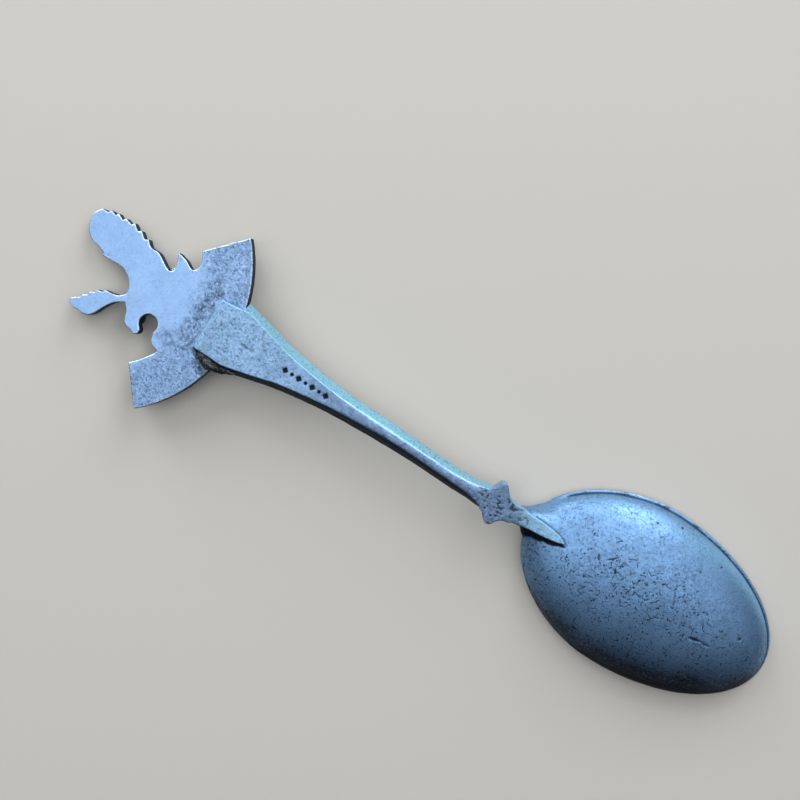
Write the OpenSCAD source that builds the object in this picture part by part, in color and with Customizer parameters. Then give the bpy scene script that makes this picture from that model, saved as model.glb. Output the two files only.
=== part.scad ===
// Collector's spoon, lying face down.
// +X runs from the finial to the tip of the bowl, +Z is up, towards the spoon's back.
// The origin is at the centre of the bounding box's bottom face.

/* [Finial plate] */
// Outer radius of the curved banner
banner_r = 20.6; // [20.3:0.1:21.2]
// Width of the banner, from its outer to its inner edge
banner_w = 6.5; // [6:0.1:6.8]
// Angle from the plate's axis to each end of the banner, in degrees
banner_half_angle = 44.8; // [43.6:0.2:46]
// Thickness of the plate with its relief
plate_t = 2.35; // [2:0.05:2.8]
// Height of the relief on the front
relief_h = 0.5; // [0.3:0.05:0.7]
// Radius of the round opening between beak and breast
hook_r = 1.35; // [1.2:0.05:1.45]

/* [Handle] */
// Height of the flared end's back above the table
flare_z = 5.3; // [5.2:0.05:5.5]
// Height of the stem's back above the table at its highest
stem_z = 6.3; // [6:0.05:6.6]
// Thickness of the stem
stem_t = 2.4; // [2:0.05:2.8]
// Width of the stem's flat back at its narrowest
stem_back_w = 1.3; // [1:0.05:1.6]
// Width of the stem's front at its narrowest
stem_front_w = 3; // [2.6:0.05:3.4]
// Depth of the punched marks on the back
punch_depth = 0.15; // [0.1:0.05:0.25]

/* [Bowl] */
// Length of the bowl's rim
bowl_l = 39.3; // [38:0.1:40]
// Width of the bowl's rim
bowl_w = 24.5; // [22:0.1:27]
// Height of the dome above the rim
bowl_rise = 6.3; // [6:0.1:6.6]
// Thickness of the bowl's wall
bowl_wall = 0.8; // [0.6:0.05:1]
// Mean width of the flat lip around the dome
lip_w = 0.35; // [0.25:0.05:0.5]
// Thickness of the lip
lip_t = 0.6; // [0.5:0.05:0.8]

/* [Solder] */
// Thickness of the solder film in both lap joints
solder_t = 0.12; // [0.1:0.01:0.15]

/* [Hidden] */
$fn = 48;

pewter = [0.60, 0.66, 0.75];
pewter_plate = [0.62, 0.68, 0.78];
pewter_bowl = [0.55, 0.62, 0.72];
solder_dark = [0.42, 0.43, 0.45];
over = 0.5; // overlap that keeps a cut from ending on a face

stem_y = 1.8; // the stem's axis, which the asymmetric finial pushes off centre
plate_pos = [-51.3, 0.8];
plate_yaw = -3;
plate_pitch = -5.1;
plate_z = plate_t + 0.44; // lets the wing's tip rest on the table

bowl_tip = [56.7, stem_y - 0.3];
bowl_yaw = -1;
bowl_pitch = 1.75;
bowl_rear = 17.5; // from the widest point to the neck
bowl_front = bowl_l - bowl_rear;
rear_power = 1.85;
dome_shift = -0.18; // the dome sits off centre on its lip

// ---------- curves ----------

function knot(p, i) = p[min(max(i, 0), len(p) - 1)];
function between(a, b, c, d, t) =
    0.5 * (2 * b + (c - a) * t + (2 * a - 5 * b + 4 * c - d) * t * t + (3 * b - a - 3 * c + d) * t * t * t);

// A smooth curve through the rows of p, n steps a span, with both ends.
function curve(p, n = 4) = concat(
    [for (i = [0 : len(p) - 2], k = [0 : n - 1])
        between(knot(p, i - 1), p[i], p[i + 1], knot(p, i + 2), k / n)],
    [p[len(p) - 1]]
);
function arc(c, r, from, to, n = 12) = [
    for (k = [0 : n]) let(a = from + (to - from) * k / n) c + r * [cos(a), sin(a)]
];

// Feather tips along a wing's edge: after each tip the edge drops by notch, and then climbs to the next one.
function feathered(tips, notch) = [
    for (i = [0 : len(tips) - 2])
        let(run = tips[i + 1] - tips[i], side = [-run.y, run.x] / norm(run))
            each [tips[i], tips[i] + 0.22 * run + notch * side, tips[i] + 0.6 * run + 0.45 * notch * side]
];

// Closed solid through rings of n points each, in order, with a fan over both ends.
module loft(rings) {
    n = len(rings[0]);
    m = len(rings);
    sides = [
        for (i = [0 : m - 2], j = [0 : n - 1])
            let(a = i * n + j, b = i * n + (j + 1) % n)
                each [[a, b, a + n], [b, b + n, a + n]]
    ];
    start = [for (j = [1 : n - 2]) [0, j + 1, j]];
    end = [for (j = [1 : n - 2]) (m - 1) * n * [1, 1, 1] + [0, j, j + 1]];
    polyhedron([for (r = rings) each r], concat(sides, start, end));
}

// ---------- finial plate, in a frame centred on the banner's arc, with its back at z = 0 ----------

main_tips = [[2.8, 6], [1.3, 6.4], [-0.1, 6.75], [-1.5, 6.55], [-2.8, 6.5], [-3.9, 6.3], [-5.1, 5.75]];
far_tips = [[1.7, -3.35], [0.7, -4], [-0.05, -4.9], [-0.65, -5.8], [-1.8, -7]];
beak_tip = [9, -5];
hook_c = [9.5, -3.6];

function plate_outline() = concat(
    arc([0, 0], banner_r, -banner_half_angle, banner_half_angle, 30),
    curve([[10, 9.1], [10.6, 8.2], [10.9, 7.2], [10.7, 6.4], [10.1, 6.2], [9, 6.7], [7.4, 7]]),
    curve([[7.4, 6.9], [8, 5.7], [8.2, 4.7], [7.8, 4.2], [7, 4.4], [5.2, 5.3], [3.8, 5.3], [3.1, 5.8]]),
    feathered(main_tips, 0.45),
    curve([[-5.1, 5.75], [-5.5, 5.1], [-5.75, 4.2], [-5.3, 2.6], [-4.1, 1.45], [-2.6, 1.1], [-1.55, 0.85]]),
    curve([
        [-1.35, 0.35], [0.2, 0.55], [1.8, 0.7], [3.3, 0.1], [4.3, -1.1], [4.4, -2.2], [3.4, -3], [1.9, -3.3]
    ]),
    feathered(far_tips, 0.3),
    curve([[-1.8, -7], [-1.4, -7.9], [0, -7.9], [1.3, -7.8], [2.2, -7], [3, -5.2], [3.9, -3.9], [5, -3.1]]),
    curve([
        [5, -3.1], [5.8, -3.9], [6.3, -5.1], [7.1, -5.7], [7.9, -5.75], [8.5, -6], [9, -5.6], beak_tip
    ]),
    arc(hook_c, hook_r, 225, -25, 20),
    curve([[10.9, -4.6], [11.2, -5.4], [12, -5.8], [12.75, -6]]),
    arc([0, 0], banner_r - banner_w, -25.5, -43.2, 6)
);

// A leaf shape from a to b, the ground form of every raised feather.
function leaf(a, b, w, n = 6) = let(run = b - a, side = [-run.y, run.x] / norm(run)) concat(
    [for (k = [0 : n]) a + run * k / n + side * w / 2 * pow(sin(180 * k / n), 0.7)],
    [for (k = [n - 1 : -1 : 1]) a + run * k / n - side * w / 2 * pow(sin(180 * k / n), 0.7)]
);
function sector(inner, outer, half) = concat(
    arc([0, 0], outer, -half, half, 24),
    arc([0, 0], inner, half, -half, 24)
);

module raised(h) translate([0, 0, -plate_t + relief_h - h]) linear_extrude(h + over) children();

module feathers(roots, tips, w) for (i = [0 : len(tips) - 1]) polygon(leaf(roots[i], tips[i], w));

module wing_relief() {
    raised(relief_h) feathers(
        [[5.6, 1.6], [4.6, 1.4], [3.4, 1.5], [2.1, 1.6], [0.8, 1.8], [-0.6, 2]],
        [[5, 4.7], [2.9, 5.3], [1, 5.8], [-0.6, 6], [-2.9, 5.6], [-4.9, 4.4]], 1.15
    );
    raised(0.7 * relief_h) polygon(leaf([5.6, 0.2], [-4.4, 2.6], 1.1));
    raised(0.8 * relief_h) feathers(
        [[3.9, -3], [3.3, -3.8], [2.9, -4.7], [2.4, -5.8]],
        [[1.2, -4.4], [0.6, -5.3], [0, -6.3], [-0.9, -7.3]], 0.9
    );
}

module body_relief() {
    raised(0.7 * relief_h) polygon(leaf([8.6, -2.6], [9, 5.9], 4.4, 10));
    for (row = [0 : 4], k = [-1 : 1])
        raised(relief_h) translate([8.7 + 0.95 * k, -0.7 + row + 0.4 * abs(k)]) circle(0.42);
    raised(relief_h) translate([7.1, -4.1]) circle(1.25);
    raised(0.7 * relief_h) polygon(leaf([7.3, -4.9], [8.7, -5.5], 0.7));
}

module banner_relief() {
    rim = 0.7;
    inner = banner_r - banner_w;
    half = banner_half_angle - 2.5;
    raised(0.6 * relief_h) difference() {
        polygon(sector(inner + 0.4, banner_r - 0.4, half));
        polygon(sector(inner + 0.4 + rim, banner_r - 0.4 - rim, half - 2.4));
    }
    for (a = [-36 : 6 : 36])
        rotate(a) raised(0.6 * relief_h)
            translate([banner_r - banner_w / 2, 0]) rotate(45) square(1.5, center = true);
}

module at_plate() translate([plate_pos.x, plate_pos.y, plate_z])
    rotate([0, plate_pitch, plate_yaw]) children();

// The plate's silhouette from its back down, raised by gap.
module plate_envelope(gap) translate([0, 0, -plate_t - over])
    linear_extrude(plate_t + over + gap) polygon(plate_outline());

module finial_plate() color(pewter_plate) at_plate() {
    translate([0, 0, relief_h - plate_t]) linear_extrude(plate_t - relief_h) polygon(plate_outline());
    wing_relief();
    body_relief();
    banner_relief();
}

// ---------- handle ----------

lap_x = -34.8;
edge_x = -31.5; // where the flared end clears the banner and takes its full width
boss_c = [12.4, stem_y - 0.05];
tongue_tip_x = 23;
tongue_t = 2.25;

// Stations along the handle: x, centre line from the stem's axis, half width of the flat back,
// half width of the front, height of the back, thickness.
flare = [lap_x, -0.4, 3.85, 3.95, flare_z, 2.3];
lap_end = [edge_x, -0.2, 4.05, 4.15, flare_z + 0.1, 2.4];
stations = [
    [edge_x + 0.05, -0.2, 4.1, 5.15, flare_z + 0.1, 2.4],
    [-30, -0.2, 4.05, 4.95, flare_z + 0.15, 2.4],
    [-27.5, -0.2, 3.45, 4.35, 5.58, 2.45],
    [-25, -0.2, 2.8, 3.7, 5.7, stem_t + 0.1],
    [-22, -0.15, 2.05, 3.05, 5.8, stem_t + 0.1],
    [-18, -0.1, 1.45, 2.45, 5.95, stem_t + 0.1],
    [-14.5, -0.05, 1.05, 2.05, 6.1, stem_t + 0.05],
    [-10, 0, 0.8, 1.8, stem_z - 0.05, stem_t],
    [-5, 0.05, 0.67, 1.65, stem_z, stem_t],
    [0, -0.05, stem_back_w / 2, stem_front_w / 2, stem_z - 0.03, stem_t],
    [5, -0.2, 0.7, stem_front_w / 2, stem_z - 0.15, stem_t],
    [8.2, -0.15, 0.9, 1.55, 5.98, stem_t],
    [10.5, 0, 1.3, 1.8, 5.84, stem_t],
    [14, 0.1, 1.25, 1.5, 5.6, tongue_t],
    [16, 0.25, 1.1, 1.2, 5.48, tongue_t],
    [18, 0.4, 0.95, 1, 5.48, tongue_t],
    [20, 0.45, 0.8, 0.85, 5.6, tongue_t],
    [21.8, 0.5, 0.54, 0.6, 5.78, tongue_t],
    [tongue_tip_x, 0.45, 0.12, 0.15, 5.92, tongue_t]
];

arris = 0.12;

// The handle's section: flat back, sloping flanks and a slightly crowned front.
function section(s) = let(
    x = s[0], y = stem_y + s[1], b = s[2], f = s[3], z = s[4], t = s[5], e = min(arris, b)
) [
    [x, y + b + e / 2, z - e],
    [x, y + f, z - 0.8 * t],
    [x, y + 0.8 * f, z - 0.96 * t],
    [x, y, z - t],
    [x, y - 0.8 * f, z - 0.96 * t],
    [x, y - f, z - 0.8 * t],
    [x, y - b - e / 2, z - e],
    [x, y - b + e / 2, z],
    [x, y + b - e / 2, z]
];

module stem() loft([for (s = concat([flare, lap_end], curve(stations, 4))) section(s)]);

boss_tilt = 3.9; // the stem's own slope there
boss_t = 2.3;
boss_outline = [
    [-2.2, 1.1], [-1.5, 2.1], [-1.1, 3], [-0.6, 3.25], [-0.1, 3], [0.7, 2.1], [1.6, 1.5], [2.9, 1.1],
    [2.9, -1], [1.7, -1.4], [0.9, -2.1], [0.6, -2.7], [0, -2.95], [-0.6, -2.65], [-1.1, -2], [-2.2, -1.3]
];

module boss() translate([boss_c.x, boss_c.y, 5.72]) rotate([0, boss_tilt, 0]) translate([0, 0, -boss_t])
    linear_extrude(boss_t) polygon(curve(concat(boss_outline, [boss_outline[0]]), 3));

punch_count = 7;
punch_pitch = 1.1;
punch_start = [-22.2, stem_y, 5.79];
punch_rise = 0.04; // the slope of the stem's back there

// A row of punched marks, lozenges and pellets in turn.
module punch_marks() for (i = [0 : punch_count - 1])
    translate(punch_start + punch_pitch * i * [1, 0, punch_rise] - [0, 0, punch_depth])
        if (i % 2) cylinder(r = 0.25, h = 1);
        else rotate(45) translate([-0.35, -0.35, 0]) cube([0.7, 0.7, 1]);

leaf_l = 14;
leaf_w = 4.6;

// A raised leaf on the front of the flared part.
module front_leaf() translate([-29, stem_y - 0.2, 2.85]) rotate([0, -2, 0])
    linear_extrude(0.8) polygon(leaf([0, 0], [leaf_l, 0], leaf_w, 12));

// A raised lozenge on the front of the boss.
module front_lozenge() translate([boss_c.x, boss_c.y, 3.2]) rotate([0, boss_tilt, 45])
    linear_extrude(0.8) square(1.8, center = true);

module handle() color(pewter) difference() {
    union() {
        stem();
        boss();
        front_leaf();
        front_lozenge();
    }
    at_plate() plate_envelope(solder_t);
    at_bowl() dome(solder_t);
    at_bowl() neck_web(solder_t);
    punch_marks();
}

// ---------- bowl, in a frame centred on its widest point, with its rim at z = 0 ----------

module at_bowl() translate([bowl_tip.x, bowl_tip.y, 0]) rotate([0, bowl_pitch, bowl_yaw])
    translate([-bowl_front, 0, 0]) children();

// One ring of an egg inset from the rim, shrunk to u of its size: an ellipse in front, a fuller point behind.
function egg(inset, u, z, n = 64) = [
    for (j = [0 : n - 1])
        let(
            a = 360 * j / n,
            c = cos(a),
            s = sin(a),
            front = c > 0,
            p = front ? 1 : 2 / rear_power,
            half = (front ? bowl_front : bowl_rear) - inset
        ) [
            u * half * sign(c) * pow(abs(c), p),
            u * (bowl_w / 2 - inset) * sign(s) * pow(abs(s), p),
            z
        ]
];

// Rings of a dome of this rise on a base at height base, from its top down to the base.
function dome_rings(inset, base, rise, n = 9) = [
    for (k = [0.25, each [1 : n]]) let(a = 90 * k / n) egg(inset, sin(a), base + rise * cos(a))
];

module dome(gap) loft(concat(
    [
        for (ring = dome_rings(lip_w - gap, lip_t, bowl_rise - lip_t + gap))
            [for (p = ring) p + [0, dome_shift, 0]]
    ],
    [egg(0, 1, lip_t), egg(0, 1, 0)]
));

module hollow() translate([0, dome_shift, 0]) loft(concat(
    dome_rings(lip_w + bowl_wall, 0, bowl_rise - bowl_wall),
    [egg(lip_w + bowl_wall, 1, -over)]
));

// Stations of the web from under the boss into the bowl's shoulders:
// place behind the rim's rear end, half width, underside and ridge.
web_stations = [
    [-3.8, 0.55, 1.8, 2.15], [-2.9, 0.66, 1.1, 2.15], [-2, 0.85, 0.6, 2.2], [-1.2, 1.2, 0.25, 2.3],
    [-0.5, 1.75, 0.05, 2.4], [0.1, 2.4, 0, 2.5], [0.7, 2.9, 0, 2.65], [1.6, 2.6, 0, 2.75], [3, 2.2, 0, 3.1]
];

// The web, with its ridge raised and its end moved back by gap.
module neck_web(gap) loft([
    for (s = curve(web_stations, 2))
        let(
            x = s[0] - bowl_rear - gap,
            half = s[1],
            edge = s[2] + 0.35 * min(1, s[3] - s[2]),
            rise = s[3] + gap - edge
        )
            concat(
                [[x, half, s[2]], [x, -half, s[2]]],
                [for (a = [180 : -12 : 0]) [x, half * cos(a), edge + rise * sin(a)]]
            )
]);

// Stations of the shoulder that fills the corner beside the tongue, in the handle's frame:
// x, inner side, underside and top there, then the crest's and the foot's y and z.
shoulder_stations = [
    [16.6, 3.35, 3, 4.6, 3.5, 4, 3.6, 3.2],
    [17.5, 3.35, 2.4, 5.2, 3.8, 4.5, 4.2, 2.7],
    [18.5, 3.35, 2.9, 5.3, 4.1, 4.85, 4.9, 2.2],
    [19.5, 3.3, 3.7, 5.4, 4.4, 5, 5.4, 3],
    [20.5, 3.2, 4.3, 5.5, 4.5, 5.15, 5.8, 3.7],
    [21.5, 3.05, 4.8, 5.62, 4.3, 5.35, 5.6, 4.35],
    [22.5, 2.75, 5.15, 5.75, 4, 5.6, 5.2, 4.9],
    [23.5, 2.4, 5.45, 5.82, 3.4, 5.75, 4.4, 5.35]
];

module shoulder() loft([
    for (s = curve(shoulder_stations, 2))
        [[s[0], s[6], s[7]], [s[0], s[1], s[2]], [s[0], s[1], s[3]], [s[0], s[4], s[5]]]
]);

module bowl() color(pewter_bowl) difference() {
    union() {
        at_bowl() dome(0);
        at_bowl() neck_web(0);
        shoulder();
    }
    at_bowl() hollow();
}

// ---------- solder ----------

seam = 0.15; // how far each solder film stays back from the edge of the piece above it
lap_foot = [
    [lap_x + seam, 3.5], [edge_x, 3.8], [edge_x + 1, 3.8],
    [edge_x + 1, -4.6], [lap_x + 1, -4.6], [lap_x + seam, -4]
];
fillet_beads = [
    [-34.1, -4.25, 0.4], [-33.1, -4.7, 0.7], [-31.9, -5.1, 0.95],
    [-30.7, -5, 0.8], [-29.3, -4.7, 0.5], [-28.3, -4.4, 0.3]
];
fillet_z = 4.55;

module finial_solder() color(solder_dark) {
    intersection() {
        at_plate() linear_extrude(solder_t) polygon(plate_outline());
        translate([0, stem_y, 0]) linear_extrude(10) polygon(lap_foot);
    }
    difference() {
        hull() for (b = fillet_beads)
            translate([b.x, stem_y + b.y, fillet_z]) scale([1, 1, 0.7]) sphere(b.z, $fn = 24);
        at_plate() plate_envelope(0);
        stem();
    }
}

// Rows of the film under the tongue: x, centre line from the stem's axis, half width.
tongue_film = [
    [14.4, 0.2, 0.35], [16.5, 0.25, 0.55], [18.5, 0.35, 0.7], [20.5, 0.45, 0.55], [22.3, 0.45, 0.15]
];

module bowl_solder() color(solder_dark) difference() {
    rows = curve(tongue_film);
    intersection() {
        at_bowl() union() {
            dome(solder_t);
            neck_web(solder_t);
        }
        translate([0, stem_y, 2.8]) linear_extrude(10) polygon(concat(
            [for (r = rows) [r[0], r[1] - r[2]]],
            [for (k = [len(rows) - 1 : -1 : 0]) [rows[k][0], rows[k][1] + rows[k][2]]]
        ));
    }
    at_bowl() union() {
        dome(0);
        neck_web(0);
    }
}

bowl();
handle();
finial_plate();
finial_solder();
bowl_solder();
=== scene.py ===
"""Visual model of a pewter collector's spoon that lies face down.

Lengths are in millimetres in the spoon's own frame, and become metres where a mesh, light or camera is made.
"""

import math

import bpy
import numpy as np
from mathutils import Matrix, Vector


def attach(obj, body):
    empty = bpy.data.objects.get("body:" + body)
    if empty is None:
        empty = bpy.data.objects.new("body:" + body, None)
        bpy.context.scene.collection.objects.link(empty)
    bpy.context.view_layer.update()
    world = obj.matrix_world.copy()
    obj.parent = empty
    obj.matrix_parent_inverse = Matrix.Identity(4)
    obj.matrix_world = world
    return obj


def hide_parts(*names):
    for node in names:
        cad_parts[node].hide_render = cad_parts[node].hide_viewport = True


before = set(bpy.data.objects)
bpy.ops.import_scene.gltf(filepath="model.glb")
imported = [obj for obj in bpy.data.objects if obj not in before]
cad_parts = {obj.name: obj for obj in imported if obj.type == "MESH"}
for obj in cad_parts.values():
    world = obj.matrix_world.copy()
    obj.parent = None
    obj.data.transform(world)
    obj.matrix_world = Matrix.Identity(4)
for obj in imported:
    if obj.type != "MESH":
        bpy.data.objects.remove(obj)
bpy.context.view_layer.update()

MM = 0.001
UP = np.array([0.0, 0.0, 1.0])

# ---------- numbers that vary smoothly and repeat exactly ----------


def lattice(cell, seed):
    """Numbers from -1 to 1 on whole-number points, the same for the same seed."""
    mixed = cell[:, 0] * 73856093 ^ cell[:, 1] * 19349663 ^ cell[:, 2] * 83492791 ^ seed * 2654435761
    mixed = (mixed ^ (mixed >> 13)) * 1274126177 & 0xFFFFFFFF
    return ((mixed ^ (mixed >> 16)) & 0xFFFF) / 32767.5 - 1


def noise(points, size, seed):
    """Smooth noise from -1 to 1 at points, with lumps of about this size."""
    place = points / size
    cell = np.floor(place).astype(np.int64)
    part = place - cell
    part = part * part * (3 - 2 * part)
    total = np.zeros(len(points))
    for corner in np.ndindex(2, 2, 2):
        weight = np.prod(np.where(corner, part, 1 - part), axis=1)
        total += weight * lattice(cell + np.array(corner), seed)
    return total


def layered(points, size, seed, layers=3):
    """Noise with finer and weaker layers added."""
    return sum(noise(points, size / 2**k, seed + k) / 1.7**k for k in range(layers))


def ramp(values, low, high):
    """0 below low, 1 above high, and smooth between."""
    t = np.clip((values - low) / (high - low), 0, 1)
    return t * t * (3 - 2 * t)


# ---------- meshes ----------


def loft(rings):
    """Vertices and faces of a closed solid through rings of equal length."""
    count, rows = len(rings[0]), len(rings)
    faces = [
        (i * count + j, i * count + (j + 1) % count, (i + 1) * count + (j + 1) % count, (i + 1) * count + j)
        for i in range(rows - 1)
        for j in range(count)
    ]
    faces.append(tuple(range(count))[::-1])
    faces.append(tuple((rows - 1) * count + j for j in range(count)))
    return np.vstack(rings), faces


def mesh_of(name, solids):
    """One mesh from several (vertices, faces) solids."""
    vertices, faces, start = [], [], 0
    for points, polygons in solids:
        vertices.append(points)
        faces += [tuple(start + i for i in polygon) for polygon in polygons]
        start += len(points)
    mesh = bpy.data.meshes.new(name)
    mesh.from_pydata(np.vstack(vertices).tolist(), [], faces)
    return mesh


def cad_solid(node):
    """A CAD node's mesh as (vertices in millimetres, faces)."""
    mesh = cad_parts[node].data
    return coordinates(mesh) / MM, [tuple(p.vertices) for p in mesh.polygons]


def coordinates(mesh):
    """A mesh's vertices as an array."""
    found = np.empty(len(mesh.vertices) * 3)
    mesh.vertices.foreach_get("co", found)
    return found.reshape(-1, 3)


class Skin:
    """A fine, even mesh grown over solids, that can be smoothed, pressed and marked."""

    def __init__(self, name, solids, voxel, rounds):
        source = bpy.data.objects.new(name, mesh_of(name, solids))
        bpy.context.scene.collection.objects.link(source)
        remesh = source.modifiers.new("remesh", "REMESH")
        remesh.mode = "VOXEL"
        remesh.voxel_size = voxel
        remesh.adaptivity = 0
        graph = bpy.context.evaluated_depsgraph_get()
        self.mesh = bpy.data.meshes.new_from_object(source.evaluated_get(graph))
        bpy.data.objects.remove(source)
        self.name = name
        self.voxel = voxel
        self.points = coordinates(self.mesh)
        edges = np.empty(len(self.mesh.edges) * 2, np.int64)
        self.mesh.edges.foreach_get("vertices", edges)
        self.ends = edges.reshape(-1, 2).T
        self.degree = np.bincount(self.ends.ravel(), minlength=len(self.points))
        for _ in range(rounds):
            self.points += 0.5 * self.pull(self.points)
            self.points -= 0.52 * self.pull(self.points)
        self.marks = {}

    def pull(self, values):
        """From each vertex's value to the mean of its neighbours' values."""
        columns = values.reshape(len(values), -1)
        a, b = self.ends
        mean = np.empty_like(columns)
        for k in range(columns.shape[1]):
            total = np.bincount(a, columns[b, k], len(values)) + np.bincount(b, columns[a, k], len(values))
            mean[:, k] = total / self.degree
        return (mean - columns).reshape(values.shape)

    def blur(self, values, rounds):
        """Spreads values over neighbouring vertices."""
        for _ in range(rounds):
            values = values + 0.6 * self.pull(values)
        return values

    def ease(self, share, rounds):
        """Smooths the surface where share is 1 and leaves it where share is 0."""
        for _ in range(rounds):
            self.points += 0.6 * share[:, None] * self.pull(self.points)

    def normals(self):
        self.mesh.vertices.foreach_set("co", self.points.ravel())
        self.mesh.update()
        found = np.empty(len(self.points) * 3)
        self.mesh.vertices.foreach_get("normal", found)
        return found.reshape(-1, 3)

    def bend(self, rounds=2):
        """How sharply the surface turns at each vertex, positive on outer edges and negative in crevices."""
        turn = -np.sum(self.pull(self.points) * self.normals(), axis=1) / self.voxel
        return self.blur(turn, rounds)

    def press(self, height):
        """Moves the surface outwards by height."""
        self.points += self.normals() * np.asarray(height)[:, None]

    def finish(self, body, node, material):
        """The finished piece, in metres, standing for its CAD node."""
        self.mesh.vertices.foreach_set("co", (self.points * MM).ravel())
        for name, values in self.marks.items():
            self.mesh.attributes.new(name, "FLOAT", "POINT").data.foreach_set(
                "value", np.clip(values, 0, 1).astype(np.float32)
            )
        self.mesh.shade_smooth()
        self.mesh.update()
        self.mesh.materials.clear()
        self.mesh.materials.append(material)
        piece = bpy.data.objects.new(self.name, self.mesh)
        bpy.context.scene.collection.objects.link(piece)
        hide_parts(node)
        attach(piece, body)
        return piece


def groove(points, a, b, width):
    """1 along the line from a to b, seen from above, falling to 0 at width from it.

    It is thinner at its ends.
    """
    a, b = np.array(a, float), np.array(b, float)
    level = points[:, :2]
    near = np.all((level > np.minimum(a, b) - width) & (level < np.maximum(a, b) + width), axis=1)
    found = np.zeros(len(points))
    place = points[near, :2] - a
    run = b - a
    along = np.clip(place @ run / max(run @ run, 1e-9), 0, 1)
    away = np.linalg.norm(place - along[:, None] * run, axis=1)
    taper = 1 - 0.45 * (2 * along - 1) ** 2 if run @ run > 0 else 1
    found[near] = 1 - ramp(away / taper, 0.25 * width, width)
    return found


def grooves(points, lines):
    """The deepest of several grooves, each (a, b, width, depth), at every point."""
    found = np.zeros(len(points))
    for a, b, width, depth in lines:
        found = np.maximum(found, depth * groove(points, a, b, width))
    return found


# ---------- materials ----------


class Nodes:
    """A short way to write a material's node tree."""

    def __init__(self, name):
        self.material = bpy.data.materials.new(name)
        self.material.use_nodes = True
        self.tree = self.material.node_tree
        self.shader = self.tree.nodes["Principled BSDF"]
        place = self.tree.nodes.new("ShaderNodeTexCoord")
        scale = self.add("ShaderNodeVectorMath", operation="SCALE")
        self.link(place.outputs["Object"], scale.inputs[0])
        scale.inputs["Scale"].default_value = 1 / MM
        self.place = scale.outputs[0]

    def add(self, kind, **settings):
        node = self.tree.nodes.new(kind)
        for key, value in settings.items():
            setattr(node, key, value)
        return node

    def link(self, output, socket):
        self.tree.links.new(output, socket)

    def feed(self, socket, value):
        if isinstance(value, bpy.types.NodeSocket):
            self.link(value, socket)
        else:
            socket.default_value = value

    def math(self, operation, a, b=0.0, clamp=False):
        node = self.add("ShaderNodeMath", operation=operation, use_clamp=clamp)
        self.feed(node.inputs[0], a)
        self.feed(node.inputs[1], b)
        return node.outputs[0]

    def mark(self, name):
        """One of the marks that the mesh carries, such as its tarnished spots and painted shade."""
        return self.add("ShaderNodeAttribute", attribute_name=name).outputs["Fac"]

    def noise(self, size, detail=3.0, rough=0.55):
        """Noise from 0 to 1 with lumps of this size in millimetres."""
        node = self.add("ShaderNodeTexNoise")
        node.inputs["Scale"].default_value = 1 / size
        node.inputs["Detail"].default_value = detail
        node.inputs["Roughness"].default_value = rough
        self.link(self.place, node.inputs["Vector"])
        return node.outputs["Fac"]

    def scratches(self, spread, length, width, share, seed):
        """1 along short, slightly bent scratches, seen from above.

        A patch of this spread has one scratch at most, and this share of the patches has one.
        """
        shift = self.add("ShaderNodeVectorMath", operation="ADD")
        self.link(self.place, shift.inputs[0])
        shift.inputs[1].default_value = (7.3 * seed, 3.1 * seed, 0)
        flat = self.add("ShaderNodeVectorMath", operation="MULTIPLY")
        self.link(shift.outputs[0], flat.inputs[0])
        flat.inputs[1].default_value = (1, 1, 0)
        patch = self.add("ShaderNodeTexVoronoi", voronoi_dimensions="2D")
        patch.inputs["Scale"].default_value = 1 / spread
        self.link(flat.outputs[0], patch.inputs["Vector"])
        offset = self.add("ShaderNodeVectorMath", operation="SUBTRACT")
        self.link(flat.outputs[0], offset.inputs[0])
        self.link(patch.outputs["Position"], offset.inputs[1])
        draws = self.add("ShaderNodeSeparateColor")
        self.link(patch.outputs["Color"], draws.inputs[0])
        turn, chance, size = draws.outputs
        rotate = self.add("ShaderNodeVectorRotate", rotation_type="Z_AXIS")
        self.link(offset.outputs[0], rotate.inputs["Vector"])
        self.link(self.math("MULTIPLY", turn, 2 * math.pi), rotate.inputs["Angle"])
        parts = self.add("ShaderNodeSeparateXYZ")
        self.link(rotate.outputs[0], parts.inputs[0])
        along = self.math("ABSOLUTE", parts.outputs["X"])
        reach = self.between(size, 0, 1, 0.15 * length, length)
        share_along = self.math("DIVIDE", along, reach)
        square = self.math("MULTIPLY", share_along, share_along)
        most = 0.3 * length
        bow = self.math("MULTIPLY", square, self.between(turn, 0, 1, -most, most))
        away = self.math("ABSOLUTE", self.math("ADD", parts.outputs["Y"], bow))
        taper = self.math("MAXIMUM", self.math("SUBTRACT", 1.0, square), 0.02)
        sides = self.between(self.math("DIVIDE", away, taper), 0.35 * width, width, 1, 0)
        there = self.math("LESS_THAN", chance, share)
        drawn = self.math("MULTIPLY", there, self.between(size, 0, 1, 0.3, 1))
        return self.math("MULTIPLY", sides, drawn)

    def between(self, value, low, high, to_low=0.0, to_high=1.0):
        """Goes smoothly from to_low to to_high while the value goes from low to high."""
        node = self.add("ShaderNodeMapRange", interpolation_type="SMOOTHSTEP")
        self.feed(node.inputs["Value"], value)
        for key, number in (("From Min", low), ("From Max", high), ("To Min", to_low), ("To Max", to_high)):
            node.inputs[key].default_value = number
        return node.outputs["Result"]

    def blend(self, share, a, b):
        node = self.add("ShaderNodeMix", data_type="RGBA")
        self.feed(node.inputs["Factor"], share)
        self.feed(node.inputs["A"], a)
        self.feed(node.inputs["B"], b)
        return node.outputs["Result"]


def rgb(red, green, blue):
    """A colour given as it looks on a screen, 0 to 255, as a shader needs it."""
    return tuple((c / 255) ** 2.2 for c in (red, green, blue)) + (1.0,)


# Near black for scratches and dirt, and also for painted shade on sides and crevices that face away from the
# light.
GRIME_AND_SHADE = rgb(16, 17, 22)
METALLIC = 0.85
BUMP_HEIGHT = 0.02 * MM
BUMP_STRENGTH = 0.8
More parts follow.
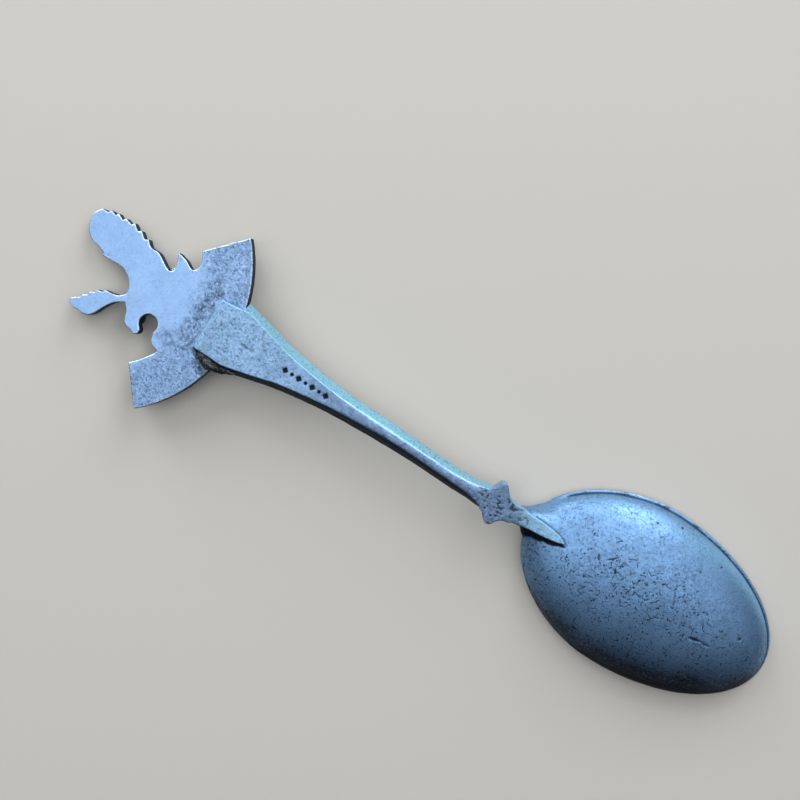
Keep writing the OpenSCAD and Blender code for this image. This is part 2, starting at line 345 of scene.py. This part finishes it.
# Layers of scratches and pits: spread, length, half width, share of patches that have one, and seed.
SCRATCH_LAYERS = (
    (0.8, 0.45, 0.09, 0.6, 1),
    (1.5, 0.8, 0.08, 0.5, 2),
    (0.55, 0.14, 0.12, 0.5, 3),
    (1.0, 0.22, 0.18, 0.4, 4),
)


def pewter(name, clean, dark, bright, roughness, grain):
    """Aged pewter. Its marks say where it is rough cast, tarnished, dirty, rubbed bright and scratched, and
    where shade and highlights are painted on: darker on shaded sides and crevices, brighter on sides and
    edges facing the light.
    """
    n = Nodes(name)
    cast, tarnish_and_shade, dirt_and_shade = n.mark("cast"), n.mark("tarnish_and_shade"), n.mark("dirt_and_shade")
    wear_and_highlight, scored = n.mark("wear_and_highlight"), n.mark("scored")
    clouds = n.between(n.noise(6.0, 4.0), 0.3, 0.7)
    mottle = n.between(n.noise(1.3, 5.0, 0.65), 0.36, 0.66)
    speck = n.between(n.noise(0.34, 3.0, 0.7), 0.47, 0.6)
    glint = n.between(n.noise(0.4, 2.0, 0.7), 0.54, 0.66)
    patch = n.between(n.noise(0.7, 3.0, 0.6), 0.42, 0.62)
    fine = n.noise(0.16, 2.0, 0.6)

    lines = n.scratches(*SCRATCH_LAYERS[0])
    for layer in SCRATCH_LAYERS[1:]:
        lines = n.math("MAXIMUM", lines, n.scratches(*layer))
    lines = n.math("MULTIPLY", lines, n.between(n.math("ADD", scored, n.noise(2.4, 3.0)), 0.72, 1.1))

    grains = n.math("MULTIPLY", n.math("MULTIPLY", speck, n.between(patch, 0, 1, 0.45, 1.0)), cast)
    cloudy = n.math("MULTIPLY", clouds, n.between(cast, 0, 1, 0.0, 0.12))
    mottled = n.math("MULTIPLY", mottle, n.between(cast, 0, 1, 0.02, 0.26))
    stained = n.math("ADD", tarnish_and_shade, cloudy, clamp=True)
    stained = n.math("ADD", stained, mottled, clamp=True)
    # The dark colour paints tarnish, and also painted shade where that mark is set on shaded sides.
    tone = n.blend(stained, clean, dark)
    # The bright colour paints rubbed wear, and also painted highlights on sides and edges facing the light.
    tone = n.blend(wear_and_highlight, tone, bright)
    tone = n.blend(n.math("MULTIPLY", n.math("MULTIPLY", glint, cast), 0.4), tone, bright)
    tone = n.blend(n.math("MULTIPLY", grains, grain), tone, dark)
    # Near black paints dirt and scratches, and also painted shade on shaded flanks and crevices.
    tone = n.blend(n.math("MAXIMUM", dirt_and_shade, n.math("MULTIPLY", lines, 0.9)), tone, GRIME_AND_SHADE)
    n.link(tone, n.shader.inputs["Base Color"])

    gloss = n.math("ADD", n.between(mottle, 0, 1, -0.015, 0.03), roughness)
    gloss = n.math("ADD", gloss, n.math("MULTIPLY", grains, 0.12))
    gloss = n.math("ADD", gloss, n.math("MULTIPLY", dirt_and_shade, 0.3))
    gloss = n.math("SUBTRACT", gloss, n.math("MULTIPLY", wear_and_highlight, 0.04), clamp=True)
    n.link(gloss, n.shader.inputs["Roughness"])
    n.shader.inputs["Metallic"].default_value = METALLIC

    height = n.math("MULTIPLY", fine, n.between(cast, 0, 1, 0.4, 1.0))
    height = n.math("SUBTRACT", height, n.math("MULTIPLY", grains, 0.9))
    height = n.math("SUBTRACT", height, lines)
    bump = n.add("ShaderNodeBump")
    bump.inputs["Strength"].default_value = BUMP_STRENGTH
    bump.inputs["Distance"].default_value = BUMP_HEIGHT
    n.link(height, bump.inputs["Height"])
    n.link(bump.outputs[0], n.shader.inputs["Normal"])
    return n.material


# ---------- bowl ----------

BOWL_TIP = (56.7, 1.5, 0.0)
BOWL_YAW, BOWL_PITCH = math.radians(-1), math.radians(1.75)
BOWL_FRONT, BOWL_REAR, BOWL_WIDTH = 21.8, 17.5, 24.5
BOWL_RISE, BOWL_WALL = 6.3, 0.8
LIP_WIDTH, LIP_THICK = 0.35, 0.6
REAR_POWER = 1.85
DOME_SHIFT = -0.18
BOWL_PLACE = (
    Matrix.Translation(BOWL_TIP)
    @ Matrix.Rotation(BOWL_YAW, 4, "Z")
    @ Matrix.Rotation(BOWL_PITCH, 4, "Y")
    @ Matrix.Translation((-BOWL_FRONT, 0, 0))
)


def egg(inset, shrink, height, shift=0.0, count=360):
    """One ring of the bowl: half an ellipse in front of its widest point and a fuller curve behind."""
    turn = 2 * math.pi * np.arange(count) / count
    c, s = np.cos(turn), np.sin(turn)
    power = np.where(c > 0, 1, 2 / REAR_POWER)
    length = np.where(c > 0, BOWL_FRONT, BOWL_REAR) - inset
    x = shrink * length * np.sign(c) * np.abs(c) ** power
    y = shrink * (BOWL_WIDTH / 2 - inset) * np.sign(s) * np.abs(s) ** power + shift
    return np.column_stack([x, y, np.full(count, height)])


def dome(inset, base, rise, rows=44):
    """Rings from the dome's top down to its base."""
    return [
        egg(inset, math.sin(a), base + rise * math.cos(a), DOME_SHIFT)
        for a in np.radians(np.linspace(1, 90, rows))
    ]


def placed(points, place):
    """Points moved by a 4 by 4 matrix."""
    matrix = np.array(place)
    return points @ matrix[:3, :3].T + matrix[:3, 3]


def bowl_shell():
    """The bowl's wall and its thin lip, rim down."""
    outside = dome(LIP_WIDTH, LIP_THICK, BOWL_RISE - LIP_THICK)
    inside = dome(LIP_WIDTH + BOWL_WALL, 0, BOWL_RISE - BOWL_WALL)[::-1]
    lip = [egg(0, 1, LIP_THICK), egg(0, 1, 0)]
    points, faces = loft(outside + lip + inside)
    return placed(points, BOWL_PLACE), faces


# Stations of the neck's web: place from the bowl's rear, half width, underside and ridge.
WEB_STATIONS = (
    (-3.8, 0.55, 1.8, 2.15),
    (-2.9, 0.66, 1.1, 2.15),
    (-2.0, 0.85, 0.6, 2.2),
    (-1.2, 1.2, 0.25, 2.3),
    (-0.5, 1.75, 0.05, 2.4),
    (0.1, 2.4, 0.0, 2.5),
    (0.7, 2.9, 0.0, 2.65),
    (1.15, 2.8, 0.5, 2.7),
    (1.6, 2.4, 1.35, 2.75),
    (3.0, 2.2, 2.6, 3.1),
)
WEB_COLUMNS = 25


def neck_web():
    """The web that runs from under the boss into the bowl's shoulders."""
    across = np.linspace(0, math.pi, WEB_COLUMNS)
    rings = []
    for back, half, low, high in WEB_STATIONS:
        edge = low + 0.35 * min(1.0, high - low)
        y = half * np.cos(across)
        top = edge + (high - edge) * np.sin(across)
        ridge = np.column_stack([np.full(WEB_COLUMNS, back - BOWL_REAR), y, top])
        under = [(back - BOWL_REAR, -half, low), (back - BOWL_REAR, half, low)]
        rings.append(np.vstack([ridge, under])[::-1])
    points, faces = loft(rings)
    return placed(points, BOWL_PLACE), faces


# Stations of the shoulder: x, inner side, underside, top, crest's y and z, foot's y and z.
SHOULDER_STATIONS = np.array([
    (16.6, 2.9, 3.0, 4.9, 3.5, 4.2, 3.6, 3.2),
    (17.5, 2.8, 2.4, 5.3, 3.8, 4.6, 4.2, 2.7),
    (18.5, 2.75, 2.9, 5.4, 4.1, 4.6, 4.9, 2.2),
    (19.5, 2.7, 3.7, 5.5, 4.4, 4.5, 5.7, 2.9),
    (20.5, 2.6, 4.3, 5.6, 4.4, 4.75, 6.0, 3.5),
    (21.5, 2.5, 4.8, 5.65, 4.0, 5.1, 5.6, 4.3),
    (22.5, 2.35, 5.15, 5.72, 3.6, 5.42, 5.2, 4.8),
    (23.5, 2.2, 5.4, 5.78, 3.0, 5.68, 4.4, 5.3),
])


def shoulder():
    """The metal that fills the corner beside the tongue."""
    known, *columns = SHOULDER_STATIONS.T
    x = np.linspace(known[0], known[-1], 29)
    inner, low, top, crest_y, crest_z, foot_y, foot_z = (np.interp(x, known, c) for c in columns)
    corners = ((foot_y, foot_z), (inner, low), (inner, top), (crest_y, crest_z))
    return loft([np.array([(x[i], y[i], z[i]) for y, z in corners]) for i in range(len(x))])


# Wear marks that stand out on the bowl's back: from, to, half width, depth.
BOWL_MARKS = (
    ((44.4, 0.6), (45.9, 0.9), 0.26, 0.14),
    ((45.9, 0.9), (47.4, 0.9), 0.2, 0.1),
    ((50.7, 3.9), (50.75, 4.0), 0.32, 0.14),
    ((30.0, 6.4), (33.2, 6.3), 0.13, 0.015),
    ((39.1, 5.1), (39.7, 4.0), 0.15, 0.025),
    ((39.7, 4.0), (40.1, 2.9), 0.15, 0.025),
    ((28.9, 3.6), (30.1, 4.8), 0.15, 0.03),
    ((31.3, 5.3), (32.5, 5.9), 0.15, 0.025),
    ((27.6, 3.8), (28.0, 3.0), 0.2, 0.04),
    ((30.3, 3.1), (31.0, 2.9), 0.18, 0.04),
    ((30.9, 4.2), (31.4, 4.0), 0.17, 0.04),
    ((38.5, 0.5), (39.2, 0.6), 0.18, 0.04),
    ((38.9, -6.1), (38.6, -4.6), 0.15, 0.03),
    ((28.4, -3.0), (28.7, -2.1), 0.15, 0.02),
    ((43.6, 4.4), (45.0, 4.6), 0.14, 0.015),
)
BOWL_PITS = ((32.7, 3.9), (34.0, 2.4), (34.2, 3.7), (27.5, 0.0), (30.3, -2.3), (35.8, 12.7), (43.3, 11.0))

# Where the tongue's side meets the bowl: a shallow groove, with a painted shadow that the tongue casts on
# its -Y side and thin dark joint lines on its +Y side. From, to, half width and strength.
TONGUE_GROOVE_SHADOW = (
    ((14.5, 0.0), (17.2, 0.4), 1.7, 1),
    ((16.4, 0.3), (18.8, 0.85), 1.5, 1),
    ((18.0, 0.75), (20.6, 1.35), 1.2, 1),
    ((20.0, 1.2), (22.2, 1.6), 0.85, 1),
    ((21.6, 1.55), (23.2, 1.9), 0.45, 0.8),
    ((17.8, 3.3), (20.8, 3.15), 0.25, 0.4),
    ((20.8, 3.15), (22.8, 2.65), 0.25, 0.4),
    ((22.8, 2.6), (23.5, 2.2), 0.25, 0.35),
)


def bowl_wear():
    """Short scratches and small pits, thick over the middle of the bowl's back and thin elsewhere."""
    draw = np.random.default_rng(31)
    lines = list(BOWL_MARKS)
    lines += [(spot, spot, 0.22, 0.06) for spot in BOWL_PITS]
    for _ in range(60):
        x, y = draw.normal(34.5, 6.0), draw.normal(0.8, 3.2)
        turn = draw.choice((1.1, 0.1)) + draw.normal(0, 0.6)
        half = draw.uniform(0.08, 0.35)
        step = half * np.array([math.cos(turn), math.sin(turn)])
        lines.append(((x, y) - step, (x, y) + step, draw.uniform(0.13, 0.17), draw.uniform(0.01, 0.04)))
    for _ in range(120):
        spot = (draw.normal(36, 8), draw.normal(0, 4.5))
        lines.append((spot, spot, draw.uniform(0.13, 0.2), draw.uniform(0.015, 0.05)))
    return lines


BOWL_VOXEL = 0.166
# Pewter's colours are given as clean, dark and bright; the dark one also paints shade and the bright one
# also paints highlights.
BOWL_COLOURS = rgb(121, 161, 208), rgb(50, 57, 74), rgb(138, 190, 234)


def make_bowl():
    skin = Skin("bowl_cast", [bowl_shell(), neck_web(), shoulder()], BOWL_VOXEL, rounds=4)
    x, y, z = skin.points.T
    beside_tongue = (1 - ramp(x, 24.5, 27)) * (1 - ramp(np.abs(y - 2.2), 4, 6))
    neck = np.maximum(1 - ramp(x, 18, 20), beside_tongue) * ramp(skin.normals() @ UP, -0.1, 0.3)
    skin.ease(neck, 20)
    skin.ease(beside_tongue * ramp(y, 2.4, 3.2) * ramp(skin.normals() @ UP, -0.1, 0.3), 25)
    normals = skin.normals()
    up = normals @ UP
    edge = skin.bend()
    outside = ramp(up, 0.05, 0.3) * ramp(z, 0.8, 1.4)
    skin.press(0.03 * noise(skin.points, 5, 1) + 0.008 * layered(skin.points, 1.1, 2) - 0.03)
    pressed = grooves(skin.points, bowl_wear()) * outside
    groove_shadow = grooves(skin.points, TONGUE_GROOVE_SHADOW) * ramp(up, 0, 0.2)
    skin.press(-pressed - 0.06 * groove_shadow)
    # How far each point faces away from the light, towards -Y and +X.
    away_from_light = 0.5 * normals[:, 0] - 0.9 * normals[:, 1] + 0.06 * noise(skin.points, 4, 6)
    shaded = ramp(away_from_light, -0.1, 0.3)
    skin.marks["cast"] = 0.65 + 0.25 * noise(skin.points, 3, 5) + 0.3 * ramp(26 - x, 0, 4) * shaded
    # Painted shade: the dome's side away from the light is darkened.
    skin.marks["tarnish_and_shade"] = ramp(away_from_light, 0.2, 0.64) * ramp(up, -0.5, -0.2)
    skin.marks["dirt_and_shade"] = np.maximum.reduce([
        0.9 * ramp(pressed, 0.006, 0.03),
        # Painted shadow beside the tongue, with the dark joint lines.
        0.97 * ramp(groove_shadow, 0.1, 0.7),
        # Painted shade: the same side is darkened further near the rim.
        0.92 * ramp(away_from_light, 0.5, 0.82) * outside,
        0.8 * ramp(-edge, 0.015, 0.05) * ramp(up, -0.2, 0.2),
    ])
    # Painted highlight: the dome's +Y side, towards the light, is painted bright, and rubbed bright edges
    # are kept only on the side facing the light.
    skin.marks["wear_and_highlight"] = np.maximum(
        ramp(edge, 0.03, 0.1) * 0.5 * ramp(-away_from_light, -0.4, 0.2),
        ramp(normals[:, 1], 0.4, 0.75) * (0.3 + 0.7 * ramp(x, 33, 44)) * outside,
    )
    middle = ((x - 36) / 15) ** 2 + ((y - 0.5) / 8.5) ** 2
    root = ((x - 22) / 3.5) ** 2 + ((y + 1.5) / 3) ** 2
    scored = 0.72 * np.exp(-middle) + 0.06 + 0.26 * ramp(away_from_light, -0.1, 0.25)
    skin.marks["scored"] = scored * outside + 0.36 * np.exp(-root)
    material = pewter("bowl_pewter", *BOWL_COLOURS, roughness=0.45, grain=0.6)
    return skin.finish("root", "bowl", material)


# ---------- handle ----------

STEM_Y = 1.8
# The row of punched marks: first one's x, distance between them, and how many.
PUNCH_FIRST, PUNCH_PITCH, PUNCH_COUNT = -22.2, 1.1, 7


def punched(points):
    """1 in the row of punched lozenges and pellets on the flared end's back."""
    found = np.zeros(len(points))
    for i in range(PUNCH_COUNT):
        offset = np.abs(points[:, :2] - (PUNCH_FIRST + PUNCH_PITCH * i, STEM_Y))
        if i % 2:
            found = np.maximum(found, 1 - ramp(np.linalg.norm(offset, axis=1), 0.2, 0.3))
        else:
            found = np.maximum(found, 1 - ramp(offset.sum(axis=1), 0.42, 0.56))
    return found * (points[:, 2] > 5)


# Wear marks on the handle's back: from, to, half width, depth.
HANDLE_MARKS = (
    ((-29.1, 1.6), (-28.3, 1.5), 0.4, 0.03),
    ((-28.3, 1.5), (-27.3, 1.7), 0.3, 0.025),
    ((-27.9, 2.2), (-27.6, 1.3), 0.25, 0.02),
    ((-32.3, 3.6), (-31.2, 2.7), 0.2, 0.015),
    ((-25.8, 2.3), (-25.2, 2.0), 0.25, 0.02),
    ((12.31, 0.02), (12.35, 0.1), 0.3, 0.1),
    ((13.1, 0.4), (13.15, 0.42), 0.22, 0.06),
    ((10.95, 0.6), (11.2, 0.5), 0.2, 0.05),
    ((11.85, 2.5), (12.6, 2.35), 0.16, 0.05),
    ((12.6, 2.35), (12.3, 1.9), 0.16, 0.06),
    ((12.3, 1.9), (12.7, 1.7), 0.16, 0.05),
    ((12.7, 1.7), (12.6, 1.3), 0.16, 0.05),
    ((19.0, 2.8), (19.05, 2.8), 0.16, 0.05),
)


HANDLE_VOXEL = 0.1
# Clean, dark and bright, as for the bowl; the bright one also paints the lit flank's highlight.
HANDLE_COLOURS = rgb(138, 166, 206), rgb(58, 70, 90), rgb(152, 214, 244)
# Where parts of the handle fade in or out along x.
FLARE_FADE = (-26, -12)
BOSS_RISE, BOSS_FADE = (6, 10), (15, 19)
SLIM_END = (7, 10)
TONGUE_RISE = (14.5, 18)
# The dips on either side of the boss, at x, and the pitted spot at the tongue's root.
BOSS_DIPS = (10.3, 15.3)
ROOT_SPOT = (16.6, STEM_Y)


def make_handle():
    skin = Skin("handle_cast", [cad_solid("handle")], HANDLE_VOXEL, rounds=3)
    x = skin.points[:, 0]
    seam = sum(np.exp(-((x - dip) ** 2)) for dip in BOSS_DIPS)
    skin.ease(seam * ramp(skin.normals() @ UP, 0.8, 0.97), 40)
    slim = ramp(x, -18, -6) * (1 - ramp(x, 8.5, 10))
    skin.ease(slim * ramp(skin.normals() @ UP, 0.1, 0.4), 55)
    normals = skin.normals()
    up, side = normals @ UP, normals[:, 1]
    edge = skin.bend()
    back = ramp(up, 0.75, 0.95)
    flared = 1 - ramp(x, *FLARE_FADE)
    boss = ramp(x, *BOSS_RISE) * (1 - ramp(x, *BOSS_FADE))
    tongue = ramp(x, *TONGUE_RISE)
    rough = back * np.maximum(np.maximum(flared * 0.75, boss), 0.55)
    grain = layered(skin.points, 0.7, 11)
    skin.press(0.02 * noise(skin.points, 3, 12) + 0.012 * grain * (0.25 + rough))
    root = 1 - ramp(np.linalg.norm(skin.points[:, :2] - ROOT_SPOT, axis=1), 0.6, 0.9)
    spots = ramp(noise(skin.points, 0.33, 13), 0.35, 0.6) * boss * back
    root_spots = 0.8 * ramp(noise(skin.points, 0.25, 14), 0.1, 0.35) * root * back
    spots = np.maximum(spots, root_spots)
    scored = grooves(skin.points, HANDLE_MARKS) * back
    skin.press(-scored - 0.03 * spots)
    # Painted shade: the -Y flank faces away from the light and is painted dark.
    shaded_flank = ramp(-side, 0.3, 0.6)
    # Painted highlight: the +Y flank faces the light and is painted bright.
    lit_flank = ramp(side, 0.62, 0.84) * ramp(up, -0.1, 0.1)
    arris = ramp(edge, 0.015, 0.05) * ramp(side, 0.12, 0.3) * ramp(x, -33, -30)
    stem_back = 0.8 * ramp(x, -14, -8) * (1 - ramp(x, *SLIM_END)) * back
    skin.marks["cast"] = np.maximum.reduce([
        rough * (1 - 0.35 * boss), 0.8 * shaded_flank, 0.65 * lit_flank, stem_back
    ])
    stem = ramp(x, *FLARE_FADE) * (1 - tongue) * (1 - 0.5 * boss)
    # Painted shade on the back's +Y arris, dimming its highlight.
    skin.marks["tarnish_and_shade"] = np.maximum(0.24 * stem * ramp(up, 0.5, 0.8), 0.6 * arris)
    skin.marks["dirt_and_shade"] = np.maximum.reduce([
        0.95 * punched(skin.points) * ramp(up, 0.3, 0.6),
        ramp(scored, 0.006, 0.05) * 0.85,
        0.75 * spots,
        0.93 * shaded_flank,
        # Painted shade: the stem's -Y half is darkened as well.
        0.8 * ramp(-side, 0.1, 0.35) * ramp(x, -14, -4) * (1 - ramp(x, *SLIM_END)),
    ])
    outline = ramp(edge, 0.03, 0.1) * np.maximum(1 - ramp(x, -30, -26), 0.35 * ramp(x, *SLIM_END))
    skin.marks["wear_and_highlight"] = np.maximum.reduce([
        0.6 * outline * ramp(side, -0.6, -0.2) * (1 - arris),
        lit_flank,
        0.4 * tongue * back,
        0.12 * flared * back,
    ])
    skin.marks["scored"] = 0.35 * boss
    material = pewter("handle_pewter", *HANDLE_COLOURS, roughness=0.4, grain=0.7)
    return skin.finish("root", "handle", material)


# ---------- finial plate ----------

FINIAL_VOXEL = 0.112
# Clean, dark and bright; the bright one also paints highlights along the edges.
FINIAL_COLOURS = rgb(138, 170, 213), rgb(62, 80, 110), rgb(196, 216, 238)
BANNER_CENTRE = np.array([-51.3, 0.8])
# Radii between which the smooth eagle turns into the rougher banner.
BANNER_START = (12.5, 15.5)
# Dark stains beside the banner: from, to, half width, strength.
STAINS = (
    ((-36.2, 4.2), (-36.6, 7.0), 1.7, 0.6),
    ((-36.3, 1.2), (-36.2, 4.2), 2.0, 0.6),
    ((-37.5, -0.5), (-36.3, 1.2), 1.7, 0.5),
    ((-36.0, -3.0), (-37.5, -0.5), 1.8, 0.5),
    ((-40.5, -3.5), (-36.0, -3.0), 1.8, 0.45),
)
# Where solder has run out over the plate, in the same form.
SOLDER_SPREAD = (
    ((-34.6, -2.6), (-32.6, -3.6), 1.2, 1),
    ((-33.4, -4.1), (-31.0, -4.6), 1.6, 0.9),
)


def make_finial():
    skin = Skin("finial_cast", [cad_solid("finial_plate")], FINIAL_VOXEL, rounds=3)
    normals = skin.normals()
    up = np.abs(normals @ UP)
    back = ramp(normals @ UP, 0.75, 0.95)
    edge = skin.bend()
    radius = np.linalg.norm(skin.points[:, :2] - BANNER_CENTRE, axis=1)
    banner = ramp(radius + 1.2 * noise(skin.points, 3, 21), *BANNER_START)
    face = ramp(up, 0.6, 0.9)
    grain = layered(skin.points, 0.6, 22)
    skin.press(0.02 * noise(skin.points, 4, 23) + 0.012 * grain * (0.15 + banner))
    blotch = 0.45 + 0.6 * layered(skin.points, 0.5, 24)
    solder = grooves(skin.points, SOLDER_SPREAD) * back
    solder = ramp(solder + 0.35 * layered(skin.points, 0.4, 25), 0.35, 0.8)
    skin.press(0.04 * solder * (1 + noise(skin.points, 0.3, 26)))
    stains = grooves(skin.points, STAINS)
    skin.marks["cast"] = 0.15 + 0.6 * banner + 0.3 * solder + 0.5 * stains
    skin.marks["tarnish_and_shade"] = np.clip(stains * blotch, 0, 0.85) * back + 0.12 * banner
    # Painted shade: the plate's side walls are darkened.
    skin.marks["dirt_and_shade"] = np.maximum(0.9 * (1 - face), solder * (0.55 + 0.35 * noise(skin.points, 0.3, 27)))
    # The plate's upward edges are painted bright: partly rubbed wear, partly a painted highlight along the
    # rounded edges.
    skin.marks["wear_and_highlight"] = ramp(edge, 0.035, 0.09) * ramp(normals @ UP, 0.2, 0.6)
    skin.marks["dirt_and_shade"] *= 1 - skin.marks["wear_and_highlight"]
    skin.marks["scored"] = 0.2 * (1 - banner)
    material = pewter("finial_pewter", *FINIAL_COLOURS, roughness=0.38, grain=0.9)
    return skin.finish("root", "finial_plate", material)


# ---------- solder ----------


SOLDER_COLOURS = rgb(120, 124, 132), rgb(52, 52, 56), rgb(170, 174, 180)


def make_solder(name, node, voxel, lumps):
    """A solder piece, with a lumpy surface where lumps is above 0."""
    skin = Skin(name, [cad_solid(node)], voxel, rounds=2)
    skin.press(lumps * (layered(skin.points, 0.5, 41) - 0.3))
    skin.marks["cast"] = np.ones(len(skin.points))
    skin.marks["tarnish_and_shade"] = 0.5 + 0.3 * noise(skin.points, 0.8, 43)
    skin.marks["dirt_and_shade"] = 0.32 + 0.5 * layered(skin.points, 0.3, 42)
    skin.marks["wear_and_highlight"] = 0.5 * ramp(skin.bend(), 0.05, 0.15)
    skin.marks["scored"] = np.zeros(len(skin.points))
    material = pewter(name + "_metal", *SOLDER_COLOURS, roughness=0.5, grain=0.7)
    return skin.finish("root", node, material)


# ---------- stage, light and camera ----------


FLOOR_HALF = 1.5
FLOOR_COLOUR = rgb(198, 192, 185)
FLOOR_ROUGHNESS = 0.75


def make_floor():
    mesh = bpy.data.meshes.new("floor")
    corners = [(-1, -1), (1, -1), (1, 1), (-1, 1)]
    mesh.from_pydata([(FLOOR_HALF * x, FLOOR_HALF * y, 0) for x, y in corners], [], [(0, 1, 2, 3)])
    n = Nodes("floor_paint")
    n.shader.inputs["Base Color"].default_value = FLOOR_COLOUR
    n.shader.inputs["Roughness"].default_value = FLOOR_ROUGHNESS
    mesh.materials.append(n.material)
    floor = bpy.data.objects.new("floor", mesh)
    bpy.context.scene.collection.objects.link(floor)


# The camera looks from AIM plus its offset at AIM. FIELD is its angle of view.
AIM = Vector((-6.7, 6.24, 0)) * MM
CAMERA_OFFSET = Vector((-0.5, 22, 200)) * MM
PICTURE_UP = Vector((-0.534, 0.845, 0))
PICTURE_RIGHT = Vector((0.845, 0.534, 0))
FIELD = math.radians(31.36)


def facing(place, target, up):
    """The matrix of a camera or light at place that looks at target."""
    back = (place - target).normalized()
    right = up.cross(back).normalized()
    turn = Matrix((right, back.cross(right), back)).transposed().to_4x4()
    return Matrix.Translation(place) @ turn


def make_camera():
    camera = bpy.data.cameras.new("camera")
    camera.sensor_width = 36
    camera.lens = camera.sensor_width / 2 / math.tan(FIELD / 2)
    camera.clip_start = 0.01
    view = bpy.data.objects.new("camera", camera)
    view.matrix_world = facing(AIM + CAMERA_OFFSET, AIM, PICTURE_UP)
    bpy.context.scene.collection.objects.link(view)
    bpy.context.scene.camera = view


# Soft square lights: elevation, azimuth anticlockwise from the picture's right, both in degrees, and watts.
SOFTBOXES = {
    "low_right": (9, 65, 1.5),
    "low_left": (9, 115, 1.5),
    "low_far_left": (20, 145, 1.0),
    "window_right": (25, 60, 3.75),
    "window_left": (25, 120, 3.8),
    "high_right": (50, 45, 1.4),
    "high": (50, 90, 0.5),
    "side_left": (50, 180, 0.7),
    "side_right": (50, 0, 0.7),
    "overhead_left": (72, 180, 1.0),
    "overhead_back": (72, 120, 1.0),
    "overhead_right": (72, 0, 0.8),
}
LIGHT_DISTANCE = 0.9
LIGHT_SIZE = 0.5
COOL = (0.93, 0.98, 1.0)
ROOM_LIGHT = 0.02


def make_lights():
    centre = Vector((0, 0, 0))
    for name, (elevation, azimuth, watts) in SOFTBOXES.items():
        rise, turn = math.radians(elevation), math.radians(azimuth)
        level = PICTURE_RIGHT * math.cos(turn) + PICTURE_UP * math.sin(turn)
        place = LIGHT_DISTANCE * (level * math.cos(rise) + Vector((0, 0, math.sin(rise))))
        light = bpy.data.lights.new(name, "AREA")
        light.size = LIGHT_SIZE
        light.energy = watts
        light.color = COOL
        lamp = bpy.data.objects.new(name, light)
        lamp.matrix_world = facing(place, centre, Vector((0, 0, 1)))
        bpy.context.scene.collection.objects.link(lamp)
    world = bpy.data.worlds.new("room")
    world.use_nodes = True
    world.node_tree.nodes["Background"].inputs["Strength"].default_value = ROOM_LIGHT
    bpy.context.scene.world = world


make_camera()
make_floor()
make_lights()
make_bowl()
make_handle()
make_finial()
make_solder("finial_solder_bead", "finial_solder", 0.05, 0.09)
make_solder("bowl_solder_film", "bowl_solder", 0.035, 0.0)

bpy.context.scene.view_settings.view_transform = "Standard"
